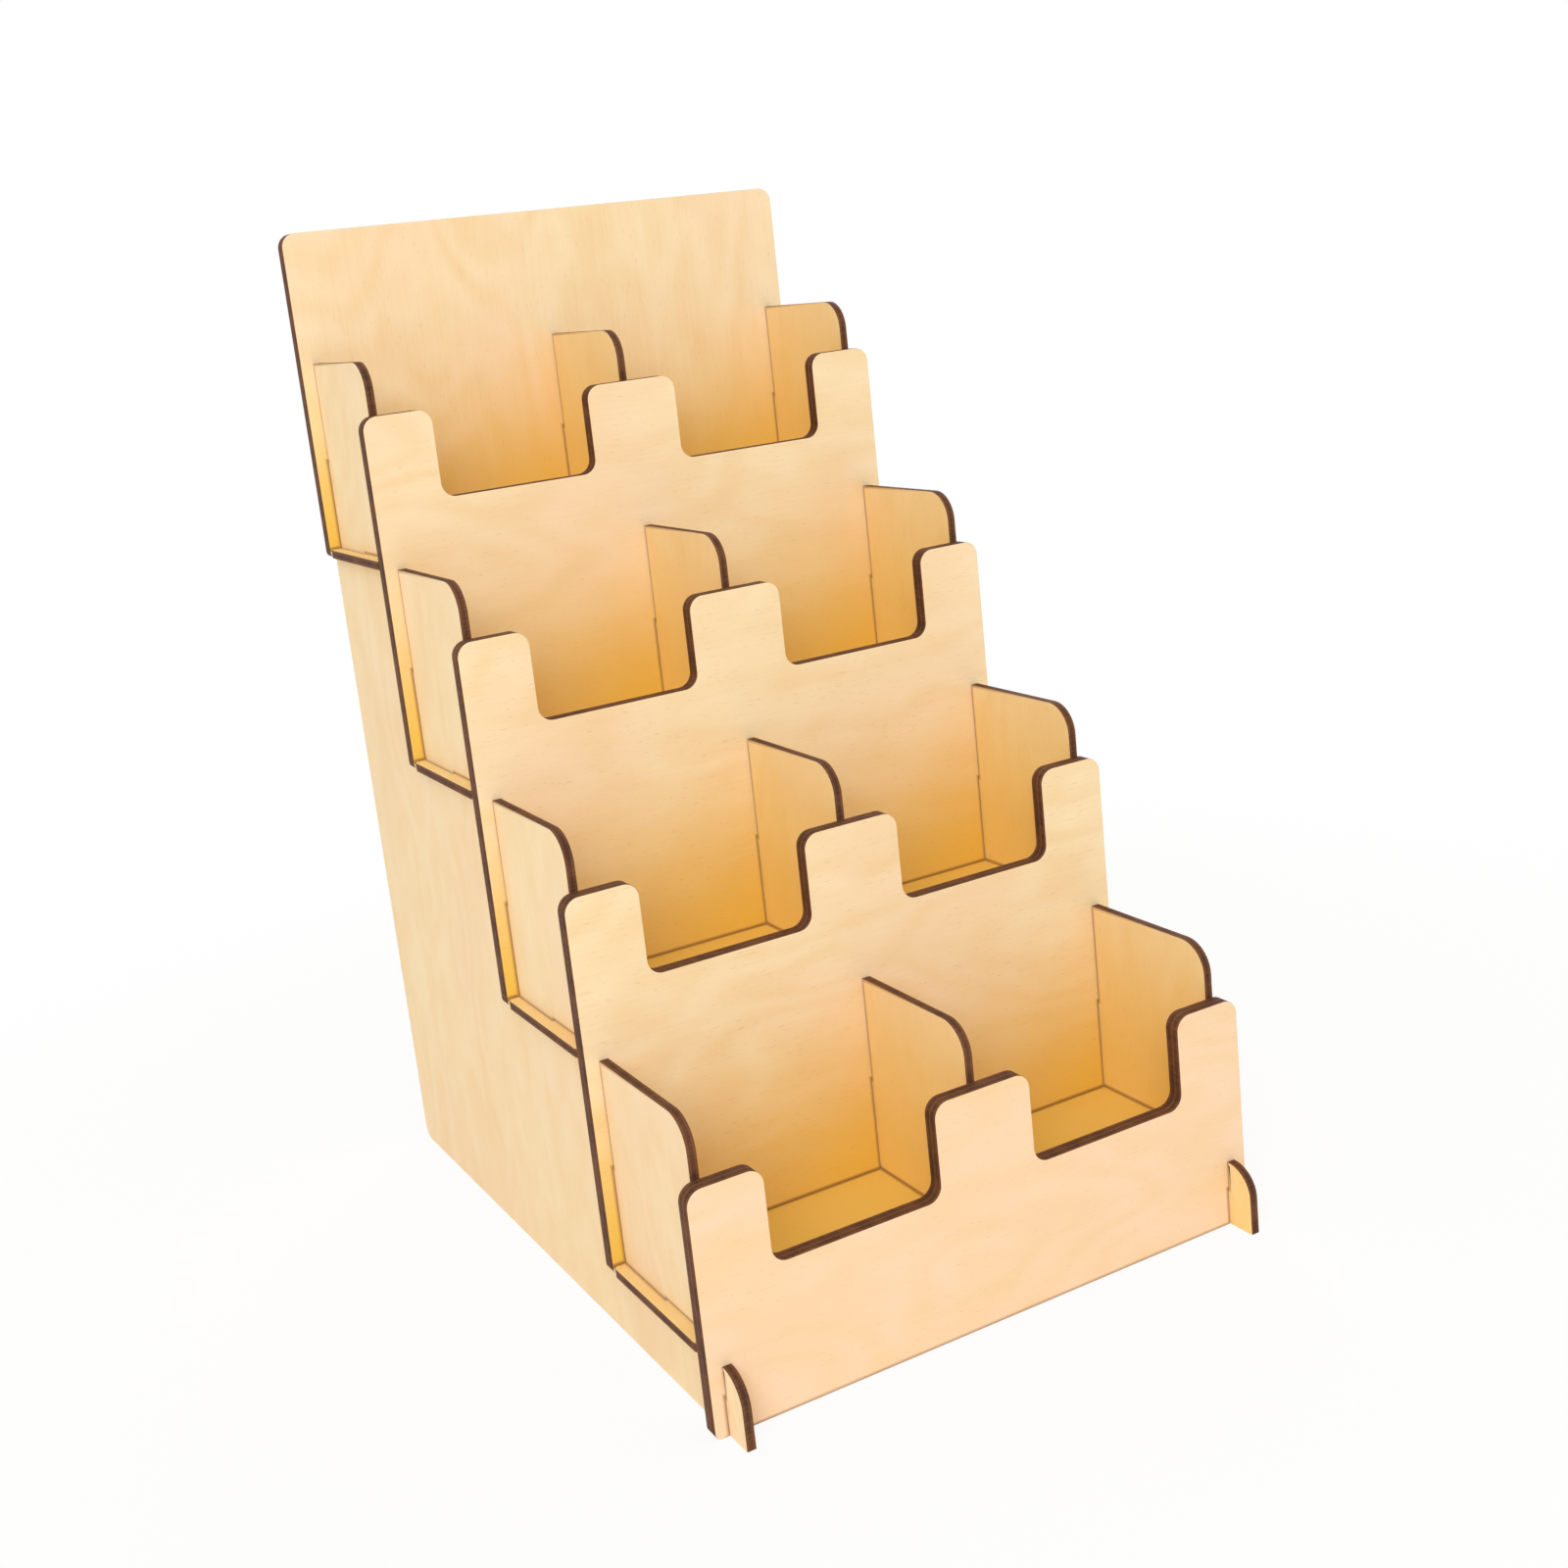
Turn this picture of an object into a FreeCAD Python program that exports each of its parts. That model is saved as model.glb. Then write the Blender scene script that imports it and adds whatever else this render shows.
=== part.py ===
# Four-tier card display stand with eight pockets, built from flat plywood
# plates that slot into each other. Millimetres, +Z up, front towards -Y,
# origin on the ground below the middle of the stand.
import FreeCAD, Part
import Sketcher
import os

# Driving sizes
SIZES = {
    "panel_plate": 5.5,      # thickness of the front and back panels
    "rib_plate": 3.0,        # thickness of the ribs
    "floor_plate": 3.0,      # thickness of the pocket floors
    "play": 0.1,             # room on each side of a slotted plate
    "width": 200.0,          # length of the panels and the pocket floors
    "tier_depth": 61.0,      # step from one front panel back to the next
    "tier_rise": 70.0,       # step from one pocket floor up to the next
    "floor_height": 28.0,    # lowest pocket floor above the ground
    "front_height": 49.0,    # top of a front panel above its pocket floor
    "back_height": 113.0,    # top of the back panel above the top floor
    "notch_depth": 30.5,     # finger notch below the top of a front panel
    "end_width": 24.5,       # upright left at each end of a front panel
    "middle_width": 34.5,    # upright left at the middle of a front panel
    "rib_inset": 4.5,        # outer face of a side rib from the panels' ends
    "tail": 4.0,             # ribs behind the back panel
    "foot_height": 22.0,     # top of the feet above the ground
    "foot_reach": 10.0,      # feet in front of the lowest panel
    "foot_land": 0.5,        # flat on top of a foot before its round nose
    "corner_radius": 5.0,    # corners of the panels and the finger notches
    "wall_radius": 10.0,     # front corners of the pocket walls
    "heel_radius": 5.0,      # lower rear corner of the ribs
    "edge_radius": 2.0,      # lower corners of panels, corners of floors
}

# Tier 1 is the top one and panel 0 is the back panel
TIERS = 4

# Driving sizes as they are written in formulas
PANEL = "Sizes.panel_plate"
RIB = "Sizes.rib_plate"
FLOOR = "Sizes.floor_plate"
PLAY = "Sizes.play"
WIDTH = "Sizes.width"
RISE = "Sizes.tier_rise"
FOOT = "Sizes.foot_reach"

# The side ribs run out through the lowest panel and end in feet
SIDE_RIBS = ("left_rib", "right_rib")

# Left face of each rib, from the left end of the panels
RIB_PLACES = {
    "left_rib": "Sizes.rib_inset",
    "centre_rib": f"(({WIDTH} - {RIB}) / 2)",
    "right_rib": f"({WIDTH} - Sizes.rib_inset - {RIB})",
}


# Heights above the ground and distances from the tips of the feet

def floor_top(tier):
    """Upper face of a pocket floor."""
    return f"(Sizes.floor_height + {TIERS - tier} * {RISE})"


def floor_under(tier):
    """Lower face of a pocket floor, where the pocket walls below it end."""
    return f"({floor_top(tier)} - {FLOOR})"


def panel_front(tier):
    """Front face of a panel."""
    return f"({FOOT} + {TIERS - tier} * Sizes.tier_depth)"


def panel_rear(tier):
    """Rear face of a panel."""
    return f"({panel_front(tier)} + {PANEL})"


def panel_bottom(tier):
    """Lower edge of a panel. The lowest panel stands on the ground, and each
    other one ends level with the underside of the next floor down."""
    return "0" if tier == TIERS else floor_under(tier + 1)


def rib_top(tier):
    """Upper edge of the ribs where a panel crosses them: the underside of the
    panel's own pocket floor, or the top of the first wall at the back."""
    return floor_under(tier)


def lap(tier):
    """Height of a panel's slots, half of its crossing with the ribs."""
    return f"(({rib_top(tier)} - {panel_bottom(tier)}) / 2)"


def floor_middle(tier):
    """Depth at which a floor's slots and the ribs' slots for it meet."""
    return f"(({panel_rear(tier)} + {panel_front(tier - 1)}) / 2)"


STAND_DEPTH = f"({panel_rear(0)} + Sizes.tail)"

doc = FreeCAD.newDocument("card_display_stand")
sheet = doc.addObject("Spreadsheet::Sheet", "Sizes")
for row, (name, value) in enumerate(SIZES.items(), start=1):
    sheet.set(f"A{row}", name)
    sheet.set(f"B{row}", str(value))
    sheet.setAlias(f"B{row}", name)
doc.recompute()


# Cutting one plate from its outline

def draw_outline(body, plane_role, outline):
    """Draws a closed outline of straight cuts and holds each corner by its
    two distances from the plate's origin."""
    planes = [item for item in body.Origin.OriginFeatures if item.Role == plane_role]
    sketch = body.newObject("Sketcher::SketchObject", f"{body.Name}_outline")
    sketch.AttachmentSupport = [(planes[0], "")]
    sketch.MapMode = "FlatFace"
    count = len(outline)
    for index in range(count):
        start = FreeCAD.Vector(index, index * index, 0)
        after = (index + 1) % count
        end = FreeCAD.Vector(after, after * after, 0)
        sketch.addGeometry(Part.LineSegment(start, end), False)
    for index, (along, up, _) in enumerate(outline):
        before = (index - 1) % count
        sketch.addConstraint(Sketcher.Constraint("Coincident", before, 2, index, 1))
        for axis, place, first in (("DistanceX", along, index), ("DistanceY", up, index * index)):
            held = sketch.addConstraint(Sketcher.Constraint(axis, -1, 1, index, 1, float(first)))
            sketch.setExpression(f"Constraints[{held}]", place)
    doc.recompute()
    return sketch


def edges_at(feature, sketch, outline, radius):
    """Names the edges through the plate at the corners with this radius."""
    across = sketch.Placement.Rotation.multVec(FreeCAD.Vector(0, 0, 1))
    corners = []
    for line, point in zip(sketch.Geometry, outline):
        if point[2] == radius:
            corners.append(sketch.Placement.multVec(line.StartPoint))
    names = []
    for number, edge in enumerate(feature.Shape.Edges, start=1):
        start = edge.Vertexes[0].Point
        run = edge.Vertexes[-1].Point - start
        straight = run.Length > 0 and abs(run.dot(across)) > 0.999 * run.Length
        if straight and any((start - corner).cross(across).Length < 1e-4 for corner in corners):
            names.append(f"Edge{number}")
    if len(names) != len(corners):
        raise RuntimeError(f"{feature.Name}: {len(names)} edges for {len(corners)} corners")
    return names


def cut_plate(label, plane_role, thickness, outline, place):
    """Makes one plate: its outline, its thickness, its rounded corners, and
    its place along X, Y and Z."""
    body = doc.addObject("PartDesign::Body", label)
    body.Label = label
    outline = [point if len(point) == 3 else (*point, None) for point in outline]
    sketch = draw_outline(body, plane_role, outline)
    feature = body.newObject("PartDesign::Pad", f"{label}_plate")
    feature.Profile = sketch
    feature.setExpression("Length", thickness)
    feature.Reversed = plane_role == "XZ_Plane"
    doc.recompute()
    for radius in sorted({point[2] for point in outline if point[2]}):
        names = edges_at(feature, sketch, outline, radius)
        fillet = body.newObject("PartDesign::Fillet", f"{label}_{len(body.Group)}_rounds")
        fillet.Base = (feature, names)
        fillet.setExpression("Radius", radius)
        doc.recompute()
        feature = fillet
    for axis, distance in zip("xyz", place):
        body.setExpression(f".Placement.Base.{axis}", distance)


# Where the stand's corner lies, so that its middle is over the origin
LEFT = f"(-{WIDTH} / 2)"
FRONT = f"(-{STAND_DEPTH} / 2)"


# Panels

def slots_from_below(tier):
    """Corners of the slots in a panel's lower edge, from left to right, one
    for each rib that crosses the panel."""
    corners = []
    for name, rib_place in RIB_PLACES.items():
        if tier == TIERS and name not in SIDE_RIBS:
            continue
        left = f"({rib_place} - {PLAY})"
        right = f"({rib_place} + {RIB} + {PLAY})"
        corners += [(left, "0"), (left, lap(tier)), (right, lap(tier)), (right, "0")]
    return corners


def panel_place(tier):
    """Where the lower left corner of a panel's outline lies."""
    return (LEFT, f"({FRONT} + {panel_front(tier)})", panel_bottom(tier))


def make_back_panel():
    """Plain panel that rises behind the top pockets."""
    top = f"({floor_top(1)} + Sizes.back_height - {panel_bottom(0)})"
    outline = [("0", "0", "Sizes.edge_radius")]
    outline += slots_from_below(0)
    outline += [
        (WIDTH, "0", "Sizes.edge_radius"),
        (WIDTH, top, "Sizes.corner_radius"),
        ("0", top, "Sizes.corner_radius"),
    ]
    cut_plate("back_panel", "XZ_Plane", PANEL, outline, panel_place(0))


def make_front_panel(tier):
    """Panel with two finger notches between three uprights. It closes the
    front of its own pockets and the back of the pockets below."""
    top = f"({floor_top(tier)} + Sizes.front_height - {panel_bottom(tier)})"
    notch = f"({top} - Sizes.notch_depth)"
    uprights = [
        ("0", "Sizes.end_width"),
        (f"(({WIDTH} - Sizes.middle_width) / 2)", f"(({WIDTH} + Sizes.middle_width) / 2)"),
        (f"({WIDTH} - Sizes.end_width)", WIDTH),
    ]
    outline = [("0", "0", "Sizes.edge_radius")]
    outline += slots_from_below(tier)
    outline.append((WIDTH, "0", "Sizes.edge_radius"))
    for left, right in reversed(uprights):
        if right != WIDTH:
            outline.append((right, notch, "Sizes.corner_radius"))
        outline.append((right, top, "Sizes.corner_radius"))
        outline.append((left, top, "Sizes.corner_radius"))
        if left != "0":
            outline.append((left, notch, "Sizes.corner_radius"))
    cut_plate(f"front_panel_{tier}", "XZ_Plane", PANEL, outline, panel_place(tier))


# Pocket floors

def make_floor(tier):
    """Floor between two panels. It slides in from the front over the walls
    of the tier below, and its slots take the rear half of each rib crossing."""
    front = f"({panel_rear(tier)} + {PLAY})"
    length = f"({panel_front(tier - 1)} - {PLAY} - {front})"
    slot_end = f"({floor_middle(tier)} - {front})"
    outline = [("0", "0", "Sizes.edge_radius"), (WIDTH, "0", "Sizes.edge_radius")]
    outline.append((WIDTH, length, "Sizes.edge_radius"))
    for rib_place in reversed(RIB_PLACES.values()):
        left = f"({rib_place} - {PLAY})"
        right = f"({rib_place} + {RIB} + {PLAY})"
        outline += [(right, length), (right, slot_end), (left, slot_end), (left, length)]
    outline.append(("0", length, "Sizes.edge_radius"))
    place = (LEFT, f"({FRONT} + {front})", floor_under(tier))
    cut_plate(f"pocket_floor_{tier}", "XY_Plane", FLOOR, outline, place)


# Ribs

def make_rib(name):
    """Staircase rib on edge. At each tier it has a wall that divides or ends
    the pockets, a slot from above for the panel and one for the floor."""
    rear = STAND_DEPTH
    outline = [(rear, "0", "Sizes.heel_radius"), (rear, rib_top(0), "Sizes.edge_radius")]
    for tier in range(TIERS + 1):
        slot_front = f"({panel_front(tier)} - {PLAY})"
        slot_rear = f"({panel_rear(tier)} + {PLAY})"
        slot_foot = f"({panel_bottom(tier)} + {lap(tier)})"
        if tier > 0:
            outline += [
                (slot_rear, rib_top(tier - 1), "Sizes.wall_radius"),
                (slot_rear, f"({floor_top(tier)} + {PLAY})"),
                (floor_middle(tier), f"({floor_top(tier)} + {PLAY})"),
                (floor_middle(tier), floor_under(tier)),
            ]
        outline.append((slot_rear, rib_top(tier)))
        if tier == TIERS and name not in SIDE_RIBS:
            outline.append((slot_rear, "0"))
            continue
        front_top = "Sizes.foot_height" if tier == TIERS else rib_top(tier)
        outline += [(slot_rear, slot_foot), (slot_front, slot_foot), (slot_front, front_top)]
    if name in SIDE_RIBS:
        nose = f"({FOOT} - {PLAY} - Sizes.foot_land)"
        outline += [("0", "Sizes.foot_height", nose), ("0", "0")]
    place = (f"({LEFT} + {RIB_PLACES[name]})", FRONT, "0")
    cut_plate(name, "YZ_Plane", RIB, outline, place)


make_back_panel()
for tier in range(1, TIERS + 1):
    make_front_panel(tier)
    make_floor(tier)
for name in RIB_PLACES:
    make_rib(name)
doc.recompute()


# Checks before anything is written

def check_model():
    """Stops on a failed feature, or on a plate that is not one sound solid."""
    for item in doc.Objects:
        if "Invalid" in item.State or "Error" in item.State:
            raise RuntimeError(f"{item.Label}: {item.State}")
    for body in plates:
        shape = body.Shape
        if shape.isNull() or not shape.isValid() or len(shape.Solids) != 1:
            raise RuntimeError(f"{body.Label} is not one sound solid")


plates = [item for item in doc.Objects if item.TypeId == "PartDesign::Body"]
check_model()
os.makedirs("parts", exist_ok=True)
for body in plates:
    body.Shape.exportStep(f"parts/{body.Label}.step")
    box = body.Shape.BoundBox
    size = f"{box.XLength:.1f} x {box.YLength:.1f} x {box.ZLength:.1f} mm"
    print(f"{body.Label}: {size}, lowest at {box.ZMin:.1f}")
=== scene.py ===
import math
import bmesh
import bpy
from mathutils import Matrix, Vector
from mathutils.bvhtree import BVHTree


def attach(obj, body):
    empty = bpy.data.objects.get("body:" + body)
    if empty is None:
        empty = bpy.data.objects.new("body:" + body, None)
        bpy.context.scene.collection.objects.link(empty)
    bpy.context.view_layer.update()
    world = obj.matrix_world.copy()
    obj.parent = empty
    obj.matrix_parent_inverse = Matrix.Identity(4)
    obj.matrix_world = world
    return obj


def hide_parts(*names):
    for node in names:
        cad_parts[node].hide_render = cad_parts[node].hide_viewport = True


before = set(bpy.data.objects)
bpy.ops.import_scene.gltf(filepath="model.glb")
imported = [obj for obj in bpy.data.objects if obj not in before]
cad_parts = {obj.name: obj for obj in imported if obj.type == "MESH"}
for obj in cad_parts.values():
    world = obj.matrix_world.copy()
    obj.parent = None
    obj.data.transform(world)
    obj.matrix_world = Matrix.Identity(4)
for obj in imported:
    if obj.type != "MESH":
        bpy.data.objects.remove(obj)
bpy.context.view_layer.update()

# Ribs
# Three staircase plates stand on edge from front to back, laser cut from thin
# birch plywood with the grain upright. Their steps are the walls of the pockets,
# and every other plate drops or slides into their slots.

X, Y, Z = 0, 1, 2
VENEER, CUT = 0, 1

SAME_POINT = 1e-6
FLAT_ANGLE = math.radians(0.4)
FACE_NORMAL = 0.9
JOINT_PLAY = 0.0002
SCORCH_LINE = 0.0003
PALE_RIM = 0.0009

# Two rings round each face: how wide it is, the scorch and highlight mask at its
# inner border, and the part of the painted joint shadow that is left there.
RINGS = ((SCORCH_LINE, 0.5, 0.85), (PALE_RIM, 0.0, 0.0))

EDGE_ROUND = 0.00012
EDGE_ROUND_STEPS = 2
EDGE_ANGLE = math.radians(50)


def other_plates(node):
    """Surfaces of all the plates but one, to find which of its cuts they meet."""
    others = bmesh.new()
    for name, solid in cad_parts.items():
        if name != node:
            others.from_mesh(solid.data)
    surfaces = BVHTree.FromBMesh(others)
    others.free()
    return surfaces


def cut_plate(node, across):
    """One plate, made from its solid, with the across axis through its
    thickness. Its scorch and highlight mask is 1 at the cuts and 0 inside the
    pale rim, its painted joint shadow is 1 at those cuts that lie in a joint,
    and its depth runs from 0 on one face to 1 on the other."""
    plate = bmesh.new()
    plate.from_mesh(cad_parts[node].data)
    bmesh.ops.remove_doubles(plate, verts=plate.verts, dist=SAME_POINT)
    bmesh.ops.dissolve_limit(
        plate, angle_limit=FLAT_ANGLE, verts=plate.verts, edges=plate.edges
    )
    # Masks for the scorch and painted highlight at each cut, and for painted shadow
    # where plates meet.
    heat = plate.verts.layers.float.new("heat")
    joint_shadow = plate.verts.layers.float.new("joint_shadow")
    depth = plate.verts.layers.float.new("depth")
    surfaces = other_plates(node)
    for corner in plate.verts:
        met = surfaces.find_nearest(corner.co, JOINT_PLAY)[0] is not None
        corner[joint_shadow] = 1.0 if met else 0.0
        corner[heat] = 1.0
    faces = [face for face in plate.faces if abs(face.normal[across]) > FACE_NORMAL]
    for width, warmth, left in RINGS:
        bmesh.ops.inset_region(
            plate, faces=faces, thickness=width, use_even_offset=True
        )
        for corner in {corner for face in faces for corner in face.verts}:
            corner[heat] = warmth
            corner[joint_shadow] *= left
    places = [corner.co[across] for corner in plate.verts]
    first, last = min(places), max(places)
    for corner in plate.verts:
        corner[depth] = (corner.co[across] - first) / (last - first)
    for face in plate.faces:
        face.material_index = VENEER if abs(face.normal[across]) > FACE_NORMAL else CUT
    mesh = bpy.data.meshes.new(f"{node}_plywood")
    plate.to_mesh(mesh)
    plate.free()
    mesh.shade_smooth()
    piece = bpy.data.objects.new(mesh.name, mesh)
    bpy.context.scene.collection.objects.link(piece)
    bevel = piece.modifiers.new("cut_edges", "BEVEL")
    bevel.width = EDGE_ROUND
    bevel.segments = EDGE_ROUND_STEPS
    bevel.angle_limit = EDGE_ANGLE
    bevel.harden_normals = True
    return piece


def colour(red, green, blue):
    """A colour as it is seen on a screen, 0 to 255, in the scene's own values,
    by the sRGB curve."""
    parts = []
    for part in (red / 255, green / 255, blue / 255):
        low = part <= 0.04045
        parts.append(part / 12.92 if low else ((part + 0.055) / 1.055) ** 2.4)
    return (*parts, 1.0)


def feed(tree, node, inputs):
    """Sets inputs of a shader node. Each is a value, or the socket it comes from."""
    for name, value in inputs.items():
        if isinstance(value, bpy.types.NodeSocket):
            tree.links.new(value, node.inputs[name])
        else:
            node.inputs[name].default_value = value


def add(tree, kind, inputs, **settings):
    """A new shader node."""
    node = tree.nodes.new(f"ShaderNode{kind}")
    for name, value in settings.items():
        setattr(node, name, value)
    feed(tree, node, inputs)
    return node


def combined(tree, first, second=0.0, operation="ADD"):
    """Two numbers put together by an operation, or one changed by it."""
    return add(tree, "Math", {0: first, 1: second}, operation=operation).outputs[0]


def scaled(tree, value, factor, more=0.0):
    """A number times a factor, with more added."""
    inputs = {0: value, 1: factor, 2: more}
    return add(tree, "Math", inputs, operation="MULTIPLY_ADD").outputs[0]


def rise(tree, value, low, high):
    """0 below low and 1 above high, with a soft step between them."""
    inputs = {"Value": value, "From Min": low, "From Max": high}
    step = add(tree, "MapRange", inputs, interpolation_type="SMOOTHSTEP")
    return step.outputs["Result"]


def fall(tree, value, low, high):
    """1 below low and 0 above high, with a soft step between them."""
    return combined(tree, 1.0, rise(tree, value, low, high), "SUBTRACT")


def laid_over(tree, under, over, share):
    """One colour with a share of another over it. The Mix node has its colours
    in inputs 6 and 7 and in output 2."""
    return add(tree, "Mix", {0: share, 6: under, 7: over}, data_type="RGBA").outputs[2]


def on_plate(tree, attribute):
    """The plate's scorch and highlight mask, painted joint shadow, or depth at a point.
    """
    return add(tree, "Attribute", {}, attribute_name=attribute).outputs["Fac"]


def in_millimetres(tree, stretch=(1, 1, 1), shift=(0, 0, 0)):
    """Object coordinates in mm. A part of stretch below 1 draws a pattern out
    along that axis, and shift moves it."""
    place = add(tree, "TexCoord", {}).outputs["Object"]
    scale = [1000 * part for part in stretch]
    mapping = add(tree, "Mapping", {"Vector": place, "Scale": scale, "Location": shift})
    return mapping.outputs["Vector"]


def place_in_millimetres(tree):
    """The three parts of a point's place."""
    return add(tree, "SeparateXYZ", {0: in_millimetres(tree)}).outputs


def cloud(tree, pattern, axis, shift=(0, 0, 0)):
    """Soft random values around 0.5. The pattern is the width of a patch in mm,
    that width as a part of its length along the axis, and its detail."""
    width, slimness, detail = pattern
    stretch = [slimness if index == axis else 1.0 for index in (X, Y, Z)]
    where = in_millimetres(tree, stretch, shift)
    inputs = {"Vector": where, "Scale": 1 / width, "Detail": detail}
    return add(tree, "TexNoise", inputs).outputs["Fac"]


def new_finish(name):
    """An empty material, its node tree and its shader."""
    material = bpy.data.materials.new(name)
    material.use_nodes = True
    tree = material.node_tree
    tree.nodes.clear()
    shader = add(tree, "BsdfPrincipled", {})
    add(tree, "OutputMaterial", {"Surface": shader.outputs["BSDF"]})
    return material, tree, shader


# The stair of the pockets, in mm.
TIERS = 4
LOWEST_PANEL_FRONT = -121.75
TIER_DEPTH = 61.0
TIER_RISE = 70.0
LOWEST_FLOOR = 28.0
POCKET_PITCH = 94.0

# Heights at a floor between which the painted shade sets in, and between which
# its thin painted shadow line fades out. Then how far from the left hand wall the
# painted shade begins to grow, its share there, and how soft its border is inside
# an outer rib.
SHADE_START = (-1.0, -0.5)
FLOOR_SHADOW_LINE = (0.3, 1.3)
LEFT_WALL = 10.0
LEFT_SHADE = 0.58
RIB_BORDER = 0.5


def pocket_shade(tree, step, reach, side):
    """Painted shade by how deep inside a pocket a point lies, on the side of the
    plate that faces it: 1 at the floor and 0 where the reach ends, more towards
    the right hand wall. Step 0 is the lowest pocket. With it comes a thin painted
    shadow line at the floor."""
    place = place_in_millimetres(tree)
    floor = scaled(tree, step, TIER_RISE, LOWEST_FLOOR)
    height = combined(tree, place["Z"], floor, "SUBTRACT")
    side = combined(tree, side, rise(tree, height, *SHADE_START), "MULTIPLY")
    aside = combined(tree, place["X"], 2 * POCKET_PITCH)
    aside = combined(tree, aside, POCKET_PITCH, "FLOORED_MODULO")
    aside = rise(tree, aside, LEFT_WALL, POCKET_PITCH)
    aside = scaled(tree, aside, 1.0 - LEFT_SHADE, LEFT_SHADE)
    painted_deep_shade = combined(tree, fall(tree, height, 0.0, reach), aside, "MULTIPLY")
    floor_shadow_line = fall(tree, height, *FLOOR_SHADOW_LINE)
    return [combined(tree, share, side, "MULTIPLY") for share in (painted_deep_shade, floor_shadow_line)]


def inside_ribs(tree):
    """1 between the middles of the two outer ribs, and 0 outside them."""
    outward = combined(tree, place_in_millimetres(tree)["X"], operation="ABSOLUTE")
    return fall(tree, outward, POCKET_PITCH - RIB_BORDER, POCKET_PITCH + RIB_BORDER)


WALL_SHADE_REACH = 110.0
WALL_SHADE = 0.8


def wall_shade(tree):
    """Painted shade on the inner sides of the ribs, whose walls climb like a stair."""
    place = place_in_millimetres(tree)
    back = combined(tree, place["Y"], LOWEST_PANEL_FRONT, "SUBTRACT")
    step = combined(tree, back, TIER_DEPTH, "DIVIDE")
    step = combined(tree, step, operation="FLOOR")
    inner = scaled(tree, inside_ribs(tree), WALL_SHADE)
    return pocket_shade(tree, step, WALL_SHADE_REACH, inner)


BIRCH_PALE = colour(251, 228, 188)
BIRCH_WARM = colour(242, 204, 148)
BIRCH_BLUSH = colour(251, 214, 183)
# Honey and straw are painted shade deep in the pockets: honey on the panels and floors,
# straw on the rib walls.
HONEY_PAINTED_SHADE = colour(232, 188, 70)
STRAW_PAINTED_SHADE = colour(244, 202, 86)
BIRCH_FLECK = colour(200, 146, 92)
# A painted highlight on the face beside each cut.
PAINTED_RIM_HIGHLIGHT = colour(252, 226, 190)
# Painted shadow in the joints and along the floors.
PAINTED_JOINT_SHADOW = colour(150, 98, 48)
SCORCHED = colour(120, 74, 40)

# Patterns in the wood, for cloud(), and how far one sheet is from the next.
SWELLS = (62.0, 0.45, 2.0)
FIBRES = (0.8, 0.03, 3.0)
MOTTLE = (11.0, 0.5, 3.0)
PATCHES = (75.0, 0.7, 1.0)
PORES = (0.35, 0.12, 0.0)
SHEET_SHIFT = (37.0, 53.0, 71.0)

# How much each of them colours the wood. Each pair is where a colour starts and
# where it is full.
BAND_TURNS = 70.0
FIBRE_WARMTH, MOTTLE_WARMTH = 0.25, 0.40
WARMTH_EDGE = (0.0, 0.75)
BLUSH_EDGE, BLUSH_SHARE = (0.42, 0.66), 0.45
PORE_EDGE, PORE_SHARE = (0.72, 0.84), 0.22
# How much of the painted shade is laid on deep in the pockets.
PAINTED_SHADE_SHARE = 0.95
RAGGED = 0.2
# Where the painted highlight beside each cut starts, and its share.
RIM_HIGHLIGHT_EDGE, RIM_HIGHLIGHT_SHARE = (0.2, 0.7), 0.5
SCORCHED_EDGE = (0.80, 1.10)
# How dark the painted shadow in the joints and along the floors is.
PAINTED_JOINT_SHADOW_SHARE = 0.75

VENEER_ROUGHNESS, FIBRE_ROUGHNESS = 0.50, 0.16
VENEER_GLOSS = 0.3
VENEER_RELIEF = 0.10
RELIEF_DEPTH = 0.0002


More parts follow.
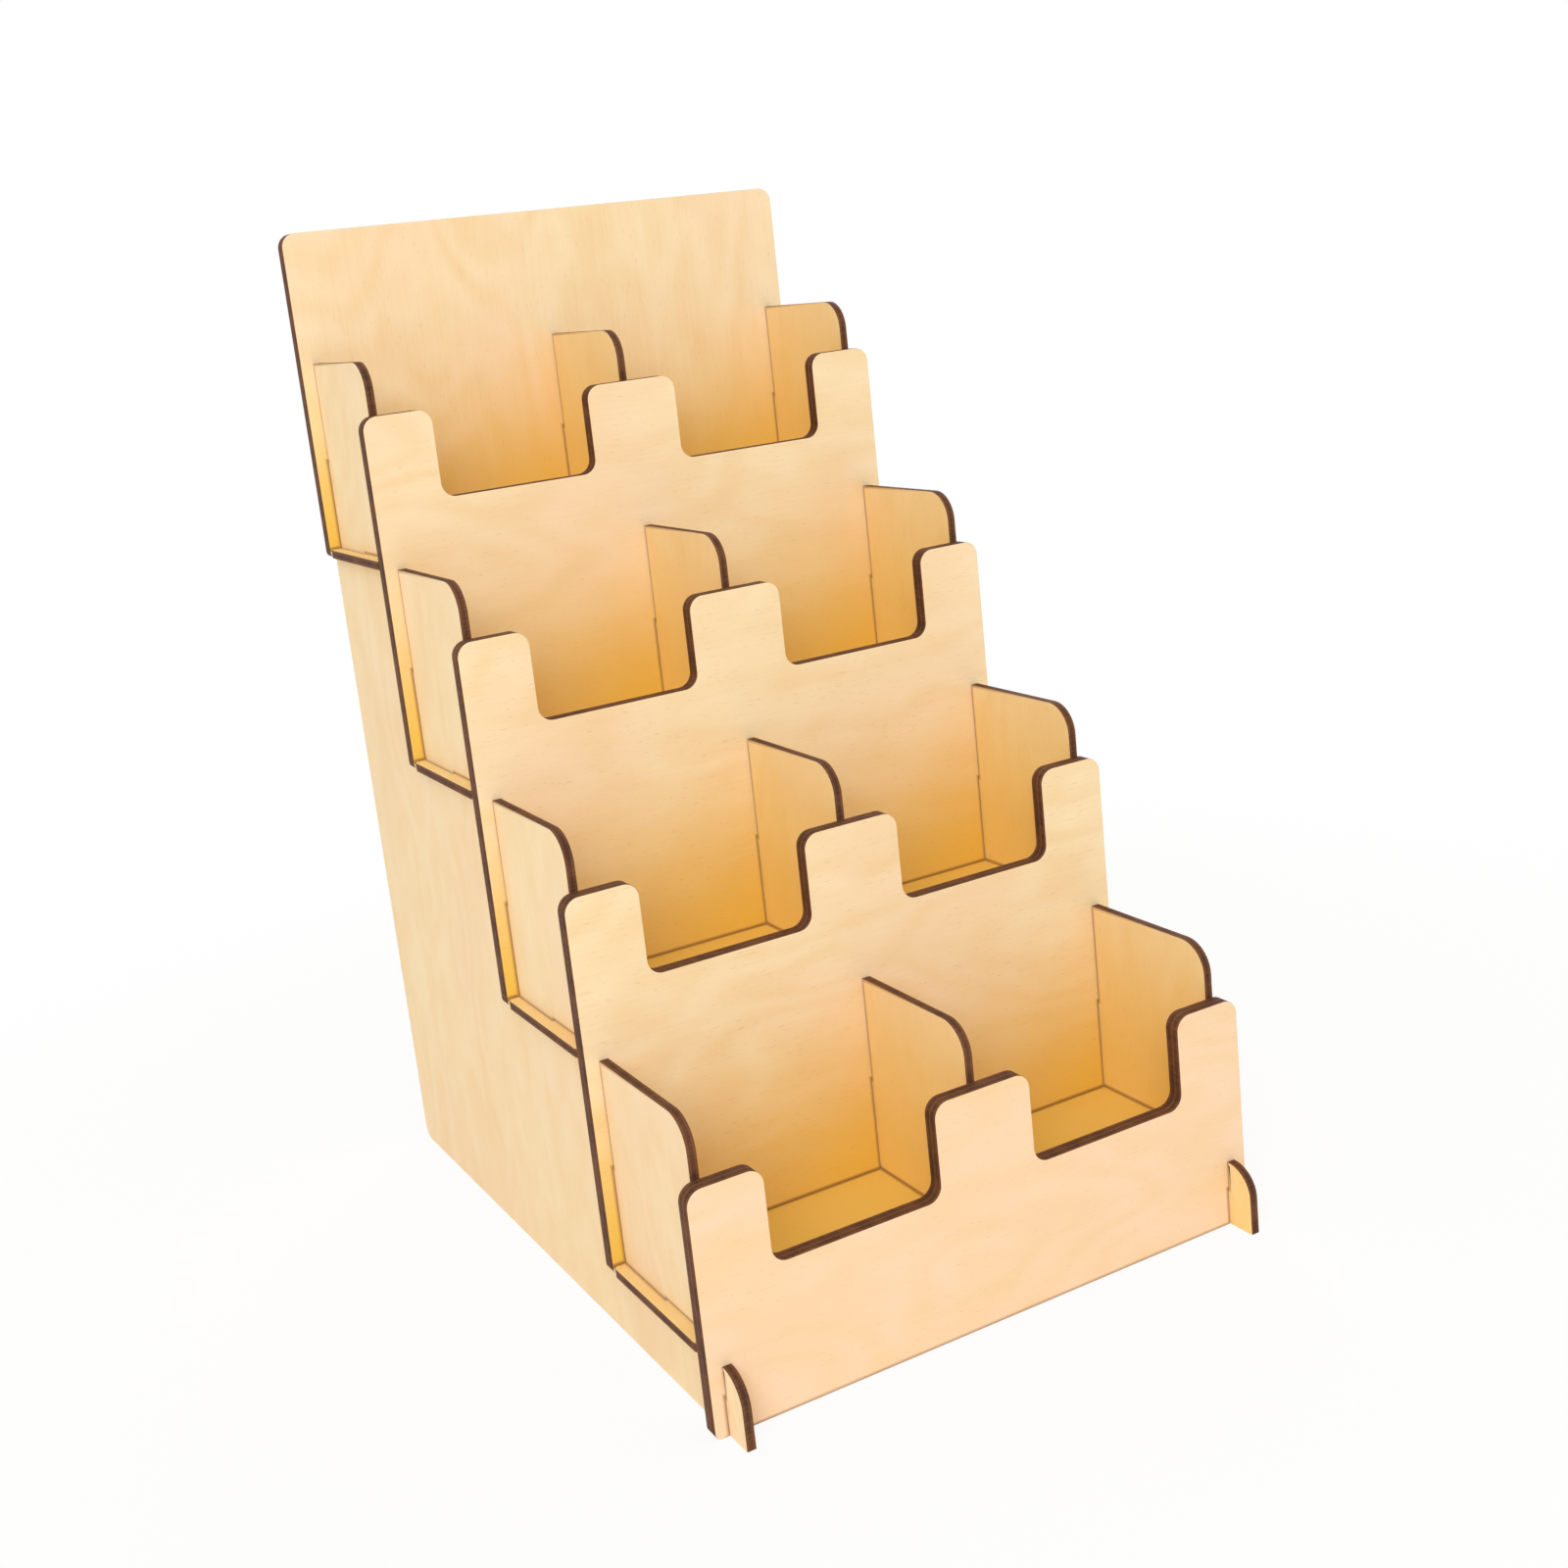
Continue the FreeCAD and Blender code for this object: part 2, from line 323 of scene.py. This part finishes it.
def birch_veneer(
    name, grain, sheet, figure, shade=None, painted_shade_tone=HONEY_PAINTED_SHADE, peach=0.0
):
    """Sanded face of the plywood: peeled birch in slow patches of cream and
    peach, with painted honey coloured shade deep in the pockets, wavy growth
    bands as strong as its figure, fine fibres and few short pores. The laser
    browned it at the very rim; beside that lies a pale painted highlight, and
    painted shadow lines the joints and the floors. Each plate is from a sheet
    of its own, so that no two have the same pattern."""
    material, tree, shader = new_finish(name)
    shift = [sheet * part for part in SHEET_SHIFT]
    swells, fibres, mottle, patches, pores = (
        cloud(tree, pattern, grain, shift)
        for pattern in (SWELLS, FIBRES, MOTTLE, PATCHES, PORES)
    )
    bands = combined(tree, scaled(tree, swells, BAND_TURNS), operation="SINE")
    warmth = scaled(tree, bands, figure)
    warmth = scaled(tree, fibres, FIBRE_WARMTH, warmth)
    warmth = scaled(tree, mottle, MOTTLE_WARMTH, warmth)
    blush = scaled(tree, rise(tree, patches, *BLUSH_EDGE), BLUSH_SHARE)
    blush = combined(tree, blush, peach, "MAXIMUM")
    wood = laid_over(tree, BIRCH_PALE, BIRCH_BLUSH, blush)
    wood = laid_over(tree, wood, BIRCH_WARM, rise(tree, warmth, *WARMTH_EDGE))
    # Painted shadow where this plate meets another.
    joint_shadow = on_plate(tree, "joint_shadow")
    # Painted shade deep in the pockets, with a painted shadow line at the floors.
    if shade:
        painted_deep_shade, floor_shadow_line = shade(tree)
        wood = laid_over(tree, wood, painted_shade_tone, scaled(tree, painted_deep_shade, PAINTED_SHADE_SHARE))
        joint_shadow = combined(tree, joint_shadow, floor_shadow_line, "MAXIMUM")
    pore_share = scaled(tree, rise(tree, pores, *PORE_EDGE), PORE_SHARE)
    wood = laid_over(tree, wood, BIRCH_FLECK, pore_share)
    # This mask is real scorch at the cut and a painted highlight on the pale rim beside
    # it.
    ragged = scaled(tree, fibres, RAGGED, on_plate(tree, "heat"))
    rim_highlight = scaled(tree, rise(tree, ragged, *RIM_HIGHLIGHT_EDGE), RIM_HIGHLIGHT_SHARE)
    wood = laid_over(tree, wood, PAINTED_RIM_HIGHLIGHT, rim_highlight)
    # Painted shadow in the joints and along the floors.
    wood = laid_over(tree, wood, PAINTED_JOINT_SHADOW, scaled(tree, joint_shadow, PAINTED_JOINT_SHADOW_SHARE))
    wood = laid_over(tree, wood, SCORCHED, rise(tree, ragged, *SCORCHED_EDGE))
    relief = {
        "Height": combined(tree, fibres, pore_share, "SUBTRACT"),
        "Strength": VENEER_RELIEF,
        "Distance": RELIEF_DEPTH,
    }
    feed(tree, shader, {
        "Base Color": wood,
        "Roughness": scaled(tree, fibres, FIBRE_ROUGHNESS, VENEER_ROUGHNESS),
        "Specular IOR Level": VENEER_GLOSS,
        "Normal": add(tree, "Bump", relief).outputs["Normal"],
    })
    return material


CHAR_DARK = colour(72, 42, 26)
CHAR_BROWN = colour(120, 74, 44)
GLUE_LINE = colour(46, 28, 20)

RIDGES = (0.35, 0.05, 3.0)
CHAR_PATCHES = (7.0, 1.0, 2.0)
HALF_PLY = 0.5
PLY_EDGE, PLY_CONTRAST = (0.45, 0.55), 0.3
BROWN_EDGE = (0.75, 1.55)
GLUE_EDGE, GLUE_SHARE = (0.03, 0.12), 0.5

CUT_ROUGHNESS = 0.72
CUT_GLOSS = 0.25
CUT_RELIEF = 0.5


def burnt_cut(name, across, plies):
    """Edge left by the laser: plies charred brown, every other one darker, with
    glue lines between them and fine ridges straight through the plate."""
    material, tree, shader = new_finish(name)
    ridges = cloud(tree, RIDGES, across)
    patches = cloud(tree, CHAR_PATCHES, across)
    layer = scaled(tree, on_plate(tree, "depth"), plies)
    turned = combined(tree, combined(tree, layer, HALF_PLY), 1.0, "PINGPONG")
    browned = combined(tree, ridges, patches)
    browned = scaled(tree, rise(tree, turned, *PLY_EDGE), PLY_CONTRAST, browned)
    char = laid_over(tree, CHAR_DARK, CHAR_BROWN, rise(tree, browned, *BROWN_EDGE))
    seam = fall(tree, combined(tree, layer, HALF_PLY, "PINGPONG"), *GLUE_EDGE)
    char = laid_over(tree, char, GLUE_LINE, scaled(tree, seam, GLUE_SHARE))
    relief = {"Height": ridges, "Strength": CUT_RELIEF, "Distance": RELIEF_DEPTH}
    feed(tree, shader, {
        "Base Color": char,
        "Roughness": CUT_ROUGHNESS,
        "Specular IOR Level": CUT_GLOSS,
        "Normal": add(tree, "Bump", relief).outputs["Normal"],
    })
    return material


def fit_plate(node, across, veneer, cut):
    """Puts a finished plate in the place of its solid."""
    piece = cut_plate(node, across)
    piece.data.materials.append(veneer)
    piece.data.materials.append(cut)
    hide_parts(node)
    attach(piece, "root")


THIN_PLIES = 3
RIB_FIGURE = 0.04

rib_cut = burnt_cut("rib_burnt_edge", X, THIN_PLIES)
for sheet, node in enumerate(("left_rib", "centre_rib", "right_rib"), start=1):
    # The rib walls take the straw coloured painted shade.
    veneer = birch_veneer(
        f"{node}_birch", Z, sheet, RIB_FIGURE, wall_shade, STRAW_PAINTED_SHADE
    )
    fit_plate(node, X, veneer, rib_cut)

# Pocket floors
# Four strips of the same thin birch plywood lie across the ribs, one under each
# tier. They slide into slots from the front, with their grain from end to end.

FLOOR_FIGURE = 0.04
FIRST_FLOOR_SHEET = 5
FLOOR_SHADE = 0.9
FLOOR_END_SHADE = 0.45


def floor_shade(tree):
    """The floors get painted shade all over inside the pockets, and less at
    their open ends. They have no painted shadow line of their own."""
    more = FLOOR_SHADE - FLOOR_END_SHADE
    return scaled(tree, inside_ribs(tree), more, FLOOR_END_SHADE), 0.0


floor_cut = burnt_cut("pocket_floor_burnt_edge", Z, THIN_PLIES)
for sheet, tier in enumerate(range(1, TIERS + 1), start=FIRST_FLOOR_SHEET):
    node = f"pocket_floor_{tier}"
    veneer = birch_veneer(f"{node}_birch", X, sheet, FLOOR_FIGURE, floor_shade)
    fit_plate(node, Z, veneer, floor_cut)

# Front panels
# Four panels of thicker birch plywood, with two finger notches each, close the
# fronts of the pockets. They drop onto the ribs with half-lap slots, and their
# grain runs from end to end.

THICK_PLIES = 5
PANEL_FIGURE = 0.06
FIRST_PANEL_SHEET = 10
LOWEST_PANEL_PEACH = 0.9
PANEL_SHADE_REACH = 72.0
PANEL_INSIDE = (0.4, 0.6)


def panel_shade(step):
    """Painted shade on the front of a panel, above the floor of the pocket before it.
    """
    def shade(tree):
        front = fall(tree, on_plate(tree, "depth"), *PANEL_INSIDE)
        return pocket_shade(tree, step, PANEL_SHADE_REACH, front)
    return shade


panel_cut = burnt_cut("panel_burnt_edge", Y, THICK_PLIES)
for sheet, tier in enumerate(range(1, TIERS + 1), start=FIRST_PANEL_SHEET):
    node = f"front_panel_{tier}"
    lowest = tier == TIERS
    veneer = birch_veneer(
        f"{node}_birch", X, sheet, PANEL_FIGURE,
        shade=None if lowest else panel_shade(TIERS - 1 - tier),
        peach=LOWEST_PANEL_PEACH if lowest else 0.0,
    )
    fit_plate(node, Y, veneer, panel_cut)

# Back panel
# The tallest panel, of the same birch plywood as the front ones, closes the top
# pockets and stands plain above them, as the place for a sign. It drops onto
# the ribs as they do, and its grain runs upwards.

BACK_FIGURE = 0.07
BACK_SHEET = 15

veneer = birch_veneer(
    "back_panel_birch", Z, BACK_SHEET, BACK_FIGURE, panel_shade(TIERS - 1)
)
fit_plate("back_panel", Y, veneer, panel_cut)

# Table and light
# The stand is on a white table under a large soft lamp from the left of the
# front and a weaker one from behind, with pale surroundings that fill the shadows.

TABLE_RADIUS = 4.0
TABLE_SIDES = 96
TABLE_WHITE = colour(244, 244, 244)
TABLE_ROUGHNESS = 0.9
TABLE_SHADING = 0.14
SHADING_FADES = (0.20, 0.60)
WHITE = (1.0, 1.0, 1.0, 1.0)
SURROUND_LIGHT = 0.63
FILL_TINT = (1.0, 0.97, 0.84, 1.0)

table_mesh = bpy.data.meshes.new("white_table")
round_top = bmesh.new()
bmesh.ops.create_circle(
    round_top, cap_ends=True, segments=TABLE_SIDES, radius=TABLE_RADIUS
)
round_top.to_mesh(table_mesh)
round_top.free()
table = bpy.data.objects.new("white_table", table_mesh)
bpy.context.scene.collection.objects.link(table)


def seen_directly(tree):
    """1 for what the camera sees, straight or in a reflection."""
    path = add(tree, "LightPath", {}).outputs
    seen = combined(tree, path["Is Camera Ray"], path["Is Glossy Ray"], "MAXIMUM")
    return combined(tree, seen, path["Is Transmission Ray"], "MAXIMUM")


table_finish, tree, matte = new_finish("white_table_top")
feed(tree, matte, {"Base Color": TABLE_WHITE, "Roughness": TABLE_ROUGHNESS})
glow = add(tree, "Emission", {"Color": WHITE, "Strength": 1.0})
place = add(tree, "TexCoord", {}).outputs["Object"]
centre = add(tree, "VectorMath", {0: place}, operation="LENGTH").outputs["Value"]
clean = rise(tree, centre, *SHADING_FADES)
clean = scaled(tree, clean, TABLE_SHADING, 1.0 - TABLE_SHADING)
share = combined(tree, clean, seen_directly(tree), "MULTIPLY")
both = add(tree, "MixShader", {0: share, 1: matte.outputs[0], 2: glow.outputs[0]})
feed(tree, tree.nodes["Material Output"], {"Surface": both.outputs[0]})
table_mesh.materials.append(table_finish)

world = bpy.data.worlds.new("white_surroundings")
bpy.context.scene.world = world
world.use_nodes = True
tree = world.node_tree
tree.nodes.clear()
lit = add(tree, "Background", {"Color": FILL_TINT, "Strength": SURROUND_LIGHT})
shown = add(tree, "Background", {"Color": WHITE, "Strength": 1.0})
share = seen_directly(tree)
both = add(tree, "MixShader", {0: share, 1: lit.outputs[0], 2: shown.outputs[0]})
add(tree, "OutputWorld", {"Surface": both.outputs[0]})

LAMP_WIDTH = 1.3
LAMP_TINT = (0.95, 1.0, 1.10)
LAMP_AIM = Vector((0.0, 0.0, 0.15))
LAMPS = {
    "soft_lamp": (22.0, Vector((-1.0, -1.35, 1.3))),
    "rear_lamp": (9.0, Vector((0.9, 1.4, 1.5))),
}

for name, (power, place) in LAMPS.items():
    lamp_data = bpy.data.lights.new(name, "AREA")
    lamp_data.shape = "DISK"
    lamp_data.size = LAMP_WIDTH
    lamp_data.energy = power
    lamp_data.color = LAMP_TINT
    lamp = bpy.data.objects.new(name, lamp_data)
    lamp.location = place
    lamp.rotation_euler = (LAMP_AIM - place).to_track_quat("-Z", "Y").to_euler()
    bpy.context.scene.collection.objects.link(lamp)

# Camera
# It looks down on the stand from the left of its front, a little more than half
# a metre away, and leans to one side as the photograph does.

CAMERA_PLACE = (-0.2971, -0.5661, 0.3227)
CAMERA_TURN = (77.11, 6.41, -28.49)
CAMERA_LENS = 44.12
CAMERA_SHIFT = (0.0375, -0.05)

camera_data = bpy.data.cameras.new("camera")
camera_data.lens = CAMERA_LENS
camera_data.shift_x, camera_data.shift_y = CAMERA_SHIFT
camera = bpy.data.objects.new("camera", camera_data)
camera.location = CAMERA_PLACE
camera.rotation_euler = [math.radians(angle) for angle in CAMERA_TURN]
bpy.context.scene.collection.objects.link(camera)
bpy.context.scene.camera = camera
bpy.context.scene.view_settings.view_transform = "Standard"
